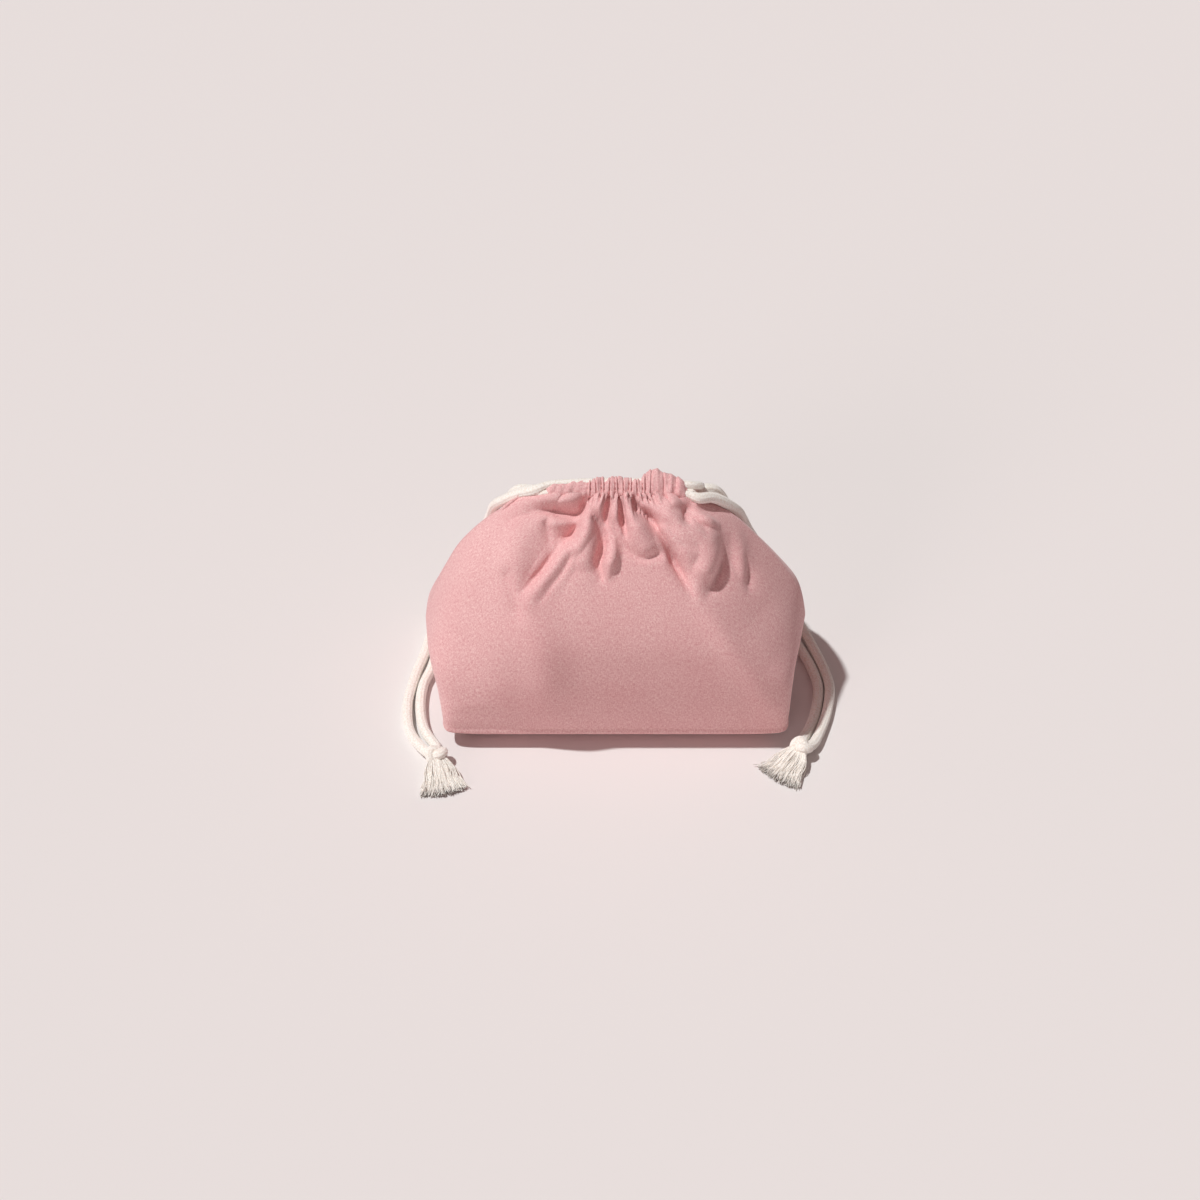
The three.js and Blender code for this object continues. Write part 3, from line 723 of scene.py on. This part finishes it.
FRONT_CREASES = [
    (-9, -9, -1, 3.8, [(106, 157), (100, 153), (100, 148), (93, 146), (77, 146), (59, 147), (34, 146)]),
    (-7, -9, -4, 4, [(100, 138), (98, 134), (93, 132), (89, 131)]),
    (-4, -4, -1.5, 4, [(91, 130), (90, 125), (90, 118), (86, 110), (81, 100)]),
    (-1, -3, -2, 2.2, [(60, 141), (72, 135), (81, 129), (89, 125)]),
    (1, 0, 0, 4.5, [(109, 121), (107, 113), (102, 104), (98, 96)]),
    (0, -5, -2, 3.2, [(114, 148), (128, 141), (137, 133), (138, 125), (138, 118), (142, 111)]),
    (-4, -3.5, 0.5, 2.2, [(137, 158), (138, 151), (137, 144), (142, 138), (147, 133)]),
    (-4, -3.5, 1, 2.0, [(156, 158), (158, 149), (160, 140), (162, 134)]),
    (1, -1.5, -0.5, 3, [(147, 139), (156, 131), (166, 125), (179, 121), (195, 123)]),
    (-6, -8, -1, 3.2, [
        (180, 157), (181, 149), (194, 145), (202, 137), (206, 129), (208, 119), (211, 109), (213, 99),
    ]),
    (5, 6, 6, 4, [(208, 137), (216, 129), (228, 124)]),
    (2, -2, 0, 2.4, [(269, 149), (251, 147), (241, 142)]),
    (-1, -4, -1, 5.5, [(267, 122), (256, 112), (242, 104), (224, 97)]),
    (-1, -3, 1, 1.8, [(187, 154), (200, 155), (209, 152)]),
    (2, 1, 3, 1.8, [(209, 156), (212, 152), (216, 150)]),
    (2, 1, 3, 1.8, [(231, 156), (220, 152)]),
    (0, -1.6, 0, 3, [(276, 126), (265, 116), (258, 107), (256, 101)]),
    (0, -2, 0, 4, [(275, 104), (268, 96), (256, 88)]),
    (-0.7, -2, 0, 4, [(64, 105), (79, 93), (88, 81)]),
]
# Broad forms of the front, added to its folds: the crests that rise from the base's corners, and
# the flat planes beside them
FRONT_FORMS = [
    (1, 2, 1, 7, [(217, 100), (219, 83), (222, 63), (228, 45), (237, 22)]),
    (-1, -3, -1, 17, [(250, 104), (249, 78), (252, 54), (262, 30)]),
    (2, 3, 1.5, 12, [(84, 97), (95, 84), (103, 67), (110, 38), (110, 14)]),
    (-2, -4, -1.5, 20, [(50, 88), (55, 63), (64, 40), (68, 22)]),
]
BACK_RIDGES = [
    (4, 8, 2, 8, [(95, 158), (98, 148), (96, 136), (90, 124), (82, 112), (74, 102)]),
    (4, 7, 2, 6, [(128, 158), (130, 146), (131, 132), (129, 120)]),
    (4, 8, 2, 7, [(162, 158), (164, 146), (168, 132), (170, 118), (168, 108)]),
    (4, 7, 2, 8, [(198, 158), (202, 148), (210, 136), (216, 122), (218, 108)]),
    (3, 6, 1, 7, [(236, 156), (246, 146), (256, 134), (260, 120)]),
    (3, 5, 1, 6, [(70, 154), (62, 144), (58, 130), (56, 118)]),
]
BACK_CREASES = [
    (-5, -6, -1, 3.2, [(82, 158), (84, 147), (80, 136), (72, 126)]),
    (-4, -5, 0, 3.2, [(112, 158), (114, 146), (114, 132), (108, 118), (101, 108)]),
    (-5, -6, 0, 2.8, [(144, 158), (146, 146), (148, 132), (147, 118), (145, 106)]),
    (-5, -5, 0, 2.8, [(180, 158), (182, 148), (186, 136), (188, 124)]),
    (-4, -5, 0, 3.2, [(216, 158), (222, 148), (232, 136), (238, 122)]),
    (-2, -3, 0, 4, [(60, 152), (52, 142), (46, 128)]),
]

# Along the mouth, places in millimetres and the count of pleats up to each of them
FRONT_PLEATS = ([-46, -38, -28, -16, 18.4, 25, 31.5, 38, 46], [-0.6, 0, 1, 2, 16, 17, 18, 19, 19.6])
BACK_PLEATS = ([-46, -38, -30, -20, 16, 24, 31, 38, 46], [-0.6, 0, 1, 2, 15, 16, 17, 18, 18.6])
# Half the height of the panels' pleats below the casings, and how far stitching draws the cloth in
PLEAT_HEIGHT = 1.5 * MM
MOUTH_DIP = 1.4 * MM
RELAX_LEVELS = ((2, 50, 0.15), (1, 20, 0.2))
# How near points some steps apart across the cloth may come, as shares of their length along it
BENDS = ((2, 0.95), (4, 0.85), (8, 0.6))
# How much longer than drawn the cloth is, across its upper half and up it, and how far folds may reach
# in and out from the smooth wall
SLACK_ACROSS_SHARE = 0.02
SLACK_UP_SHARE = 0.015
FOLD_DEPTH_LIMIT = 14 * MM
FOLD_HEIGHT_LIMIT = 13 * MM


def pleat(x, pleats):
    """Height of the pleats at x along the mouth, from 0 in a valley to 1 on a ridge: the root of
    a sine, so that ridges are round and valleys sharp."""
    turn = np.interp(x / MM, pleats[0], pleats[1])
    return np.abs(np.sin(math.pi * turn)) ** 0.6


def near_line(wall, fold):
    """The height that a fold's line has at its point nearest to each point of the wall, and the
    distance to it in half widths."""
    rows, columns = wall.shape[0] - 1, wall.shape[1] - 1
    start, middle, end, width, places = fold
    places = np.array(places, float)
    i = np.clip(np.rint(places[:, 1] / PANEL_HEIGHT * rows), 0, rows).astype(int)
    j = np.rint(places[:, 0] / PANEL_WIDTH * columns).astype(int)
    line = smooth_line(wall[i, j] / MM, 60)
    height = np.interp(np.linspace(-1, 1, 60), [-1, -0.25, 0.35, 1], [start, middle, middle, end])
    gap = np.linalg.norm(wall[:, :, None] / MM - line, axis=3)
    near = gap.argmin(axis=2)
    return height[near], np.take_along_axis(gap, near[..., None], axis=2)[..., 0] / width


def fold_heights(wall, ridges, creases, forms=()):
    """Height in metres that the folds give each point of one panel. Each point takes the highest
    ridge, a bell curve of the distance to the ridge's line. A crease then draws it towards the
    crease's own height, by a curve that comes to a point at the crease's line. Broad forms add
    their own soft bell curves."""
    total = np.zeros(wall.shape[:2])
    for fold in ridges:
        height, distance = near_line(wall, fold)
        total = np.maximum(total, height * np.exp(-(distance**2.4)))
    for fold in creases:
        height, distance = near_line(wall, fold)
        total += (height - total) * np.exp(-(distance**1.3))
    for fold in forms:
        height, distance = near_line(wall, fold)
        total += height * np.exp(-(distance**2))
    return total * MM


def draw(first, second, rest, share, least=-1.0, most=1.0):
    """Moves both points of each pair, in place, by half of what brings them to their rest distance,
    times a share. With least 0 a pair only pulls together, with most 0 it only pushes apart."""
    gap = second - first
    distance = np.maximum(np.linalg.norm(gap, axis=-1, keepdims=True), 1e-9)
    stretch = np.clip((distance - rest[..., None]) / distance, least, most)
    step = gap * (0.5 * share * stretch)
    first += step
    second -= step


def settle(cloth, target, wall, normal, rest_across, rest_up, rounds, pull):
    """Relaxes a closed tube of cloth by position-based steps. In each round the points are drawn a
    little towards the target. Then neighbours across and up the cloth pull together where they are
    stretched, both diagonals keep their length, and points two to eight apart across push apart
    where the cloth would bend too sharply. No point goes further in or out from the smooth wall
    than the limits allow. The first and last rows stay where they are."""
    p = cloth.copy()
    fixed = target[[0, -1]]
    diagonals = {
        turn: np.linalg.norm(np.roll(target, -turn, axis=1)[1:] - target[:-1], axis=2) for turn in (1, -1)
    }
    for _ in range(rounds):
        p += pull * (target - p)
        for start in (0, 1):
            q = np.roll(p, -start, axis=1)
            draw(q[:, 0::2], q[:, 1::2], np.roll(rest_across, -start, axis=1)[:, 0::2], 1.0, least=-0.2)
            p = np.roll(q, start, axis=1)
        for start in (0, 1):
            draw(p[start:-1:2], p[start + 1::2], rest_up[start::2], 1.0, least=0)
        for turn in (1, -1):
            for start in (0, 1):
                q = np.roll(p, -turn, axis=1)[start + 1::2]
                draw(p[start:-1:2], q, diagonals[turn][start::2], 0.2)
                p[start + 1::2] = np.roll(q, turn, axis=1)
        for reach, keep in BENDS:
            for start in (0, reach):
                q = np.roll(p, -start, axis=1).reshape(p.shape[0], -1, 2 * reach, 3)
                rest = np.roll(rest_across, -start, axis=1).reshape(p.shape[0], -1, 2 * reach)
                draw(q[:, :, :reach], q[:, :, reach:], rest[:, :, :reach] * reach * keep, 0.4, most=0)
                p = np.roll(q.reshape(p.shape), start, axis=1)
        height = ((p - wall) * normal).sum(axis=2)
        p += (np.clip(height, -FOLD_DEPTH_LIMIT, FOLD_HEIGHT_LIMIT) - height)[..., None] * normal
        p[[0, -1]] = fixed
    return p


def folded_target(columns, rows):
    """The smooth tube, its normals, and the tube with the folds and pleats drawn on it."""
    wall = smooth_tube(columns, rows)
    normal = outward(wall)
    closed = np.concatenate([wall, wall[:, :1]], axis=1)
    front = fold_heights(closed[:, :columns + 1], FRONT_RIDGES, FRONT_CREASES, FRONT_FORMS)[:, :-1]
    back = fold_heights(closed[:, columns:][:, ::-1], BACK_RIDGES, BACK_CREASES)[:, ::-1][:, :-1]
    height = np.concatenate([front, back], axis=1)
    rise = np.linspace(0, 1, rows + 1)[:, None]
    height = height * (1 - 0.75 * smooth_step(rise, 0.95, 1.0)) * smooth_step(rise, 0, 0.1)
    mouth_x = wall[-1:, :, 0]
    pleats = np.concatenate(
        [pleat(mouth_x[:, :columns], FRONT_PLEATS), pleat(mouth_x[:, columns:], BACK_PLEATS)], axis=1
    )
    height = height + PLEAT_HEIGHT * (pleats - 0.5) * 2 * smooth_step(rise, 0.94, 1.0)
    height = height - MOUTH_DIP * smooth_step(rise, 0.975, 1.0)
    return wall, normal, wall + height[..., None] * normal


def finer(tube, rows, columns):
    """The same closed tube of points on a grid with twice the rows and columns."""
    wide = np.empty((tube.shape[0], columns, 3))
    wide[:, 0::2] = tube
    wide[:, 1::2] = (tube + np.roll(tube, -1, axis=1)) / 2
    tall = np.empty((rows + 1, columns, 3))
    tall[0::2] = wide
    tall[1::2] = (wide[:-1] + wide[1:]) / 2
    return tall


def relaxed_tube():
    """The folded tube, relaxed on a coarse grid and then on the fine one."""
    cloth = None
    for level, rounds, pull in RELAX_LEVELS:
        columns, rows = FINE_COLUMNS // level, FINE_ROWS // level
        wall, normal, target = folded_target(columns, rows)
        rise = np.linspace(0, 1, rows + 1)[:, None]
        across = np.linalg.norm(np.roll(target, -1, axis=1) - target, axis=2)
        across *= 1 + SLACK_ACROSS_SHARE * smooth_step(rise, 0.5, 0.75)
        up = np.linalg.norm(np.diff(wall, axis=0), axis=2) * (1 + SLACK_UP_SHARE)
        start = target if cloth is None else finer(cloth, rows, 2 * columns)
        rounds = rounds
        cloth = settle(start, target, wall, normal, across, up, rounds, pull)
    return cloth


# The edge at the base: the radius and angles of its roll, and how far its lowest rows stand proud
HEM_RADIUS = 0.6 * MM
HEM_TURNS = np.radians([180, 135, 90, 45])
HEM_STAND = np.array([0.6, 0.7, 0.15]) * MM


def panel_piece(face, tube):
    """One panel cut from the tube. Its lowest rows stand proud as the pressed edge of the seam, and
    below them it is rolled under: rows on a half circle whose middle lies inside the lowest row."""
    cut = slice(None, FINE_COLUMNS + 1) if face == "front" else slice(FINE_COLUMNS, None)
    half = np.concatenate([tube, tube[:, :1]], axis=1)[:, cut]
    normal = unit(outward(tube)[0] * (1, 1, 0))
    ring = np.concatenate([normal, normal[:1]])[cut]
    half[:len(HEM_STAND)] += HEM_STAND[:, None, None] * ring
    middle = half[0] - HEM_RADIUS * ring
    turn = HEM_TURNS[:, None, None]
    down = np.array((0, 0, -1.0))
    hem = middle + HEM_RADIUS * (np.cos(turn) * ring + np.sin(turn) * down)
    points = np.concatenate([hem, half])
    s = np.linspace(0, PANEL_WIDTH * MM, FINE_COLUMNS + 1)
    h = np.concatenate([-HEM_RADIUS * HEM_TURNS, np.linspace(0, PANEL_HEIGHT * MM, FINE_ROWS + 1)])
    uv = join(s[None, :], h[:, None])
    faces = grid_faces(len(points), FINE_COLUMNS + 1)
    piece = add_piece(f"{face}_cloth", f"{face}_panel", "bag", "canvas", points, faces, uv)
    thicken(piece)
    return piece


# The base: from the rolled edge down to the flat belly

# Half sizes of the base's sewn edge and of its flat belly, in millimetres
BASE_HALF = np.array((97.5, 52.5)) - 1.2
BELLY_HALF = np.array((74.0, 31.0))
# From the belly to the sewn edge: shares of the way out and of the way up
BASE_PROFILE_SHARES = [(0, 0), (0.45, 0.03), (0.72, 0.32), (0.9, 0.66), (1, 1)]
EDGE_RISE = 12.6
BASE_SQUARENESS = 24
BASE_COLUMNS = 480


def rounded_box(angle):
    """Where a superellipse of half size 1 by 1 is at an angle: the cosine and sine, each to the
    power of 2 over the squareness with its own sign."""
    power = 2 / BASE_SQUARENESS
    return signed_power(np.cos(angle), power), signed_power(np.sin(angle), power)


def base_piece():
    """The boxed bottom: superellipse rings that shrink from the sewn edge to the belly on the
    ground, and on to its middle."""
    spread, rise = smooth_line(BASE_PROFILE_SHARES, 25)[::-1].T[:, :, None]
    across, deep = rounded_box(full_circle(BASE_COLUMNS)[None, :])
    x = (BELLY_HALF[0] + (BASE_HALF[0] - BELLY_HALF[0]) * spread) * across
    y = (BELLY_HALF[1] + (BASE_HALF[1] - BELLY_HALF[1]) * spread) * deep
    side = join(x, y, rise * EDGE_RISE)
    share = np.linspace(1, 0, 14)[1:, None, None]
    belly = side[-1:] * np.concatenate([share, share, share * 0 + 1], axis=2)
    points = np.concatenate([side, belly]) * MM
    faces = grid_faces(len(points), BASE_COLUMNS, wrap=True)[:, ::-1]
    thicken(add_piece("base_cloth", "base_panel", "bag", "canvas", points, faces, points[..., :2]))


base_piece()


# The casings: doubled cloth, gathered over the cords

CASING_COLUMNS = 420
CASING_SIDES = 80

# How high the casings stand over the stitch line: places along the mouth and heights, millimetres
FRONT_CROWN = [
    (-46, 4.0), (-38, 4.8), (-33, 5.9), (-24, 6.8), (-17, 7.2), (-13, 7.0), (-9.5, 8.8), (-6, 7.6),
    (-0.5, 8.9), (4, 7.8), (9, 7.6), (12.5, 7.4), (15.5, 10.6), (20, 12.6), (24.5, 12.0), (27, 9.8),
    (30, 9.6), (34, 8.0), (38, 5.6), (46, 4.4),
]
BACK_CROWN = [
    (-46, 5.2), (-38, 6.2), (-30, 7.4), (-22, 7.4), (-15, 7.8), (-8, 7.2), (-1, 8.0), (6, 7.4),
    (13, 8.2), (21, 8.8), (27, 7.8), (33, 7.6), (38, 6.6), (46, 6.2),
]

# Along the mouth in millimetres: where the section turns boxy, where the fine pleats begin and end,
# and where the big ones begin
BOXY_START = (-22, -12)
FINE_START = (-18, -14)
FINE_END = (15, 20)
BIG_START = (14, 22)
BOXINESS = 0.3
# Heights of the plain sleeve's pleats, of the fine ones and of the big ones, in millimetres, and how
# much of a pleat lies inside the smooth sleeve
PLAIN_HEIGHT, FINE_HEIGHT, BIG_HEIGHT = 0.1, 1.0, 1.35
VALLEY_SHARE = 0.6
# How far the valleys lean round the sleeve and along it, and how far the whole sleeve wanders
LEAN_ROUND, LEAN_ALONG, WANDER = 0.7 * MM, 0.5 * MM, 0.3 * MM
# Rows of stitches: height over the stitch line, depth and half thickness, in millimetres
STITCH_ROWS = ((1.6, 1.3, 0.8), (4.6, 1.0, 0.9))
# The ends turn in over this length, in this many columns, and draw together by these amounts
END_LENGTH = 5 * MM
END_COLUMNS = 9
END_DRAW = 1.6
SHOULDER_DRAW = 1.5
# The dark hollow under the last big pleat of the front casing: its place, half size and depth
HOLLOW = np.array((27.7, 4.0)) * MM
HOLLOW_SIZE = np.array((1.5, 1.7)) * MM
HOLLOW_DEPTH = 1.1 * MM


def casing_piece(face, across, pleats, crown):
    """A gathered sleeve: a superellipse section carried along the mouth from under the stitch line
    up to the crown line. Pleats lift it between sharp valleys that lean a little, two rows of
    stitches pinch the valleys, and the ends turn in."""
    half = CASING_LENGTH / 2
    run = np.linspace(-half, half, CASING_COLUMNS)
    inward = np.linspace(0, 1, END_COLUMNS + 1)[1:]
    x = np.concatenate([-half + inward[::-1] * END_LENGTH, run, half - inward * END_LENGTH])[:, None]
    shrink = np.concatenate([inward[::-1] ** 0.4, np.zeros(CASING_COLUMNS), inward**0.4])[:, None]
    angle = full_circle(CASING_SIDES)[None, :]
    c, s = np.cos(angle), np.sin(angle)
    at = x / MM
    power = 1.0 - BOXINESS * smooth_step(at, *BOXY_START)
    deep, high = signed_power(c, power), signed_power(s, power)
    outer = -c if face == "front" else c
    lean = LEAN_ROUND * np.sin(0.55 * at + 1.0) * s + LEAN_ALONG * np.sin(1.7 * at)
    ridge = pleat(x + lean, pleats)
    fine = smooth_step(at, *FINE_START) * (1 - smooth_step(at, *FINE_END))
    lift = (PLAIN_HEIGHT + FINE_HEIGHT * fine + BIG_HEIGHT * smooth_step(at, *BIG_START)) * MM
    grow = lift * (ridge - VALLEY_SHARE) * (0.4 + 0.6 * smooth_step(outer + 0.6 * s, -0.4, 0.6))
    line = smooth_line(crown, 800)
    top = np.interp(at, line[:, 0], line[:, 1]) * MM
    foot = -sink(x)
    rise = (top + foot) / 2 + high * (top - foot) / 2
    for level, depth, thick in STITCH_ROWS:
        pinch = np.exp(-(((rise / MM - level) / thick) ** 2)) * smooth_step(outer, 0, 0.4)
        grow = grow - depth * MM * pinch * (1 - ridge) * (0.25 + 0.75 * fine)
    wander = WANDER * np.sin(at * 0.9 + 3 * angle) * np.sin(at * 0.37 + 1.3)
    shoulder = smooth_step(np.abs(x) / half, 0.84, 1.02) ** 2
    size = grow + wander - (shrink * END_DRAW + shoulder * SHOULDER_DRAW) * MM
    if face == "front":
        off_x = (x - HOLLOW[0]) / HOLLOW_SIZE[0]
        off_z = (rise - HOLLOW[1]) / HOLLOW_SIZE[1]
        size = size - HOLLOW_DEPTH * np.exp(-(off_x**2) - off_z**2) * smooth_step(outer, 0, 0.5)
    y = across + deep * (CASING_DEPTH / 2 - 0.4 * MM + size)
    z = rise + high * size
    points = in_mouth(join(x, y, z))
    turn = np.interp(at, pleats[0], pleats[1]) * 12 * MM
    uv = join(turn, angle * 5 * MM)
    faces = grid_faces(len(x), CASING_SIDES, wrap=True)
    return add_piece(f"{face}_gather", f"{face}_casing", "bag", "canvas", points, faces, uv)


tube = relaxed_tube()
for face, across, pleats, crown in (
    ("front", FRONT_ACROSS, FRONT_PLEATS, FRONT_CROWN),
    ("back", BACK_ACROSS, BACK_PLEATS, BACK_CROWN),
):
    cloth = panel_piece(face, tube)
    gather = casing_piece(face, across, pleats, crown)


# Seam allowances, inside the bag: their width and thickness, how far in from the side's guide curve
# they start, and where the base's one stands, as half sizes and a height in millimetres
SEAM_WIDTH = 7 * MM
SIDE_SEAM_THICKNESS = 1.6 * MM
BASE_SEAM_THICKNESS = 1.5 * MM
SIDE_SEAM_INSET = 1.6 * MM
BASE_SEAM_EDGE = (95.8, 50.8, 13.2)


def strip_piece(part, node, line, inward, thick):
    """A flat strip along a line: a thin rectangle carried along it, with its width inward."""
    side = unit(inward)
    flat = unit(np.cross(np.gradient(line, axis=0), side))
    corners = [(0, -0.5), (0, 0.5), (1, 0.5), (1, -0.5)]
    points = np.stack([line + side * SEAM_WIDTH * a + flat * thick * b for a, b in corners], axis=1)
    rows = len(line)
    last = (rows - 1) * 4
    caps = [[3, 2, 1, 0], [last, last + 1, last + 2, last + 3]]
    faces = np.vstack([grid_faces(rows, 4, wrap=True), caps])
    across = np.array([0, 0, 1, 1]) * SEAM_WIDTH
    run = np.linspace(0, line_length(line), rows)[:, None]
    uv = join(across, run)
    add_piece(f"{part}_seam_allowance", node, "bag", "canvas", points, faces, uv, smooth=False)


for hand, guide, word in ((1, RIGHT_GUIDE, "right"), (-1, LEFT_GUIDE, "left")):
    line = smooth_line(guide, 60)[4:52] * MM
    slope = np.gradient(line, axis=0)
    inward = join(-hand * slope[:, 2], 0, hand * slope[:, 0])
    line = line + unit(inward) * SIDE_SEAM_INSET
    strip_piece(word, f"{word}_side_seam", line, inward, SIDE_SEAM_THICKNESS)

across, deep = rounded_box(np.linspace(0, 2 * math.pi, 200))
edge = join(across, deep, 1) * BASE_SEAM_EDGE * MM
upward = np.tile((0.0, 0.0, 1.0), (200, 1))
strip_piece("base", "base_seam", edge, upward, BASE_SEAM_THICKNESS)
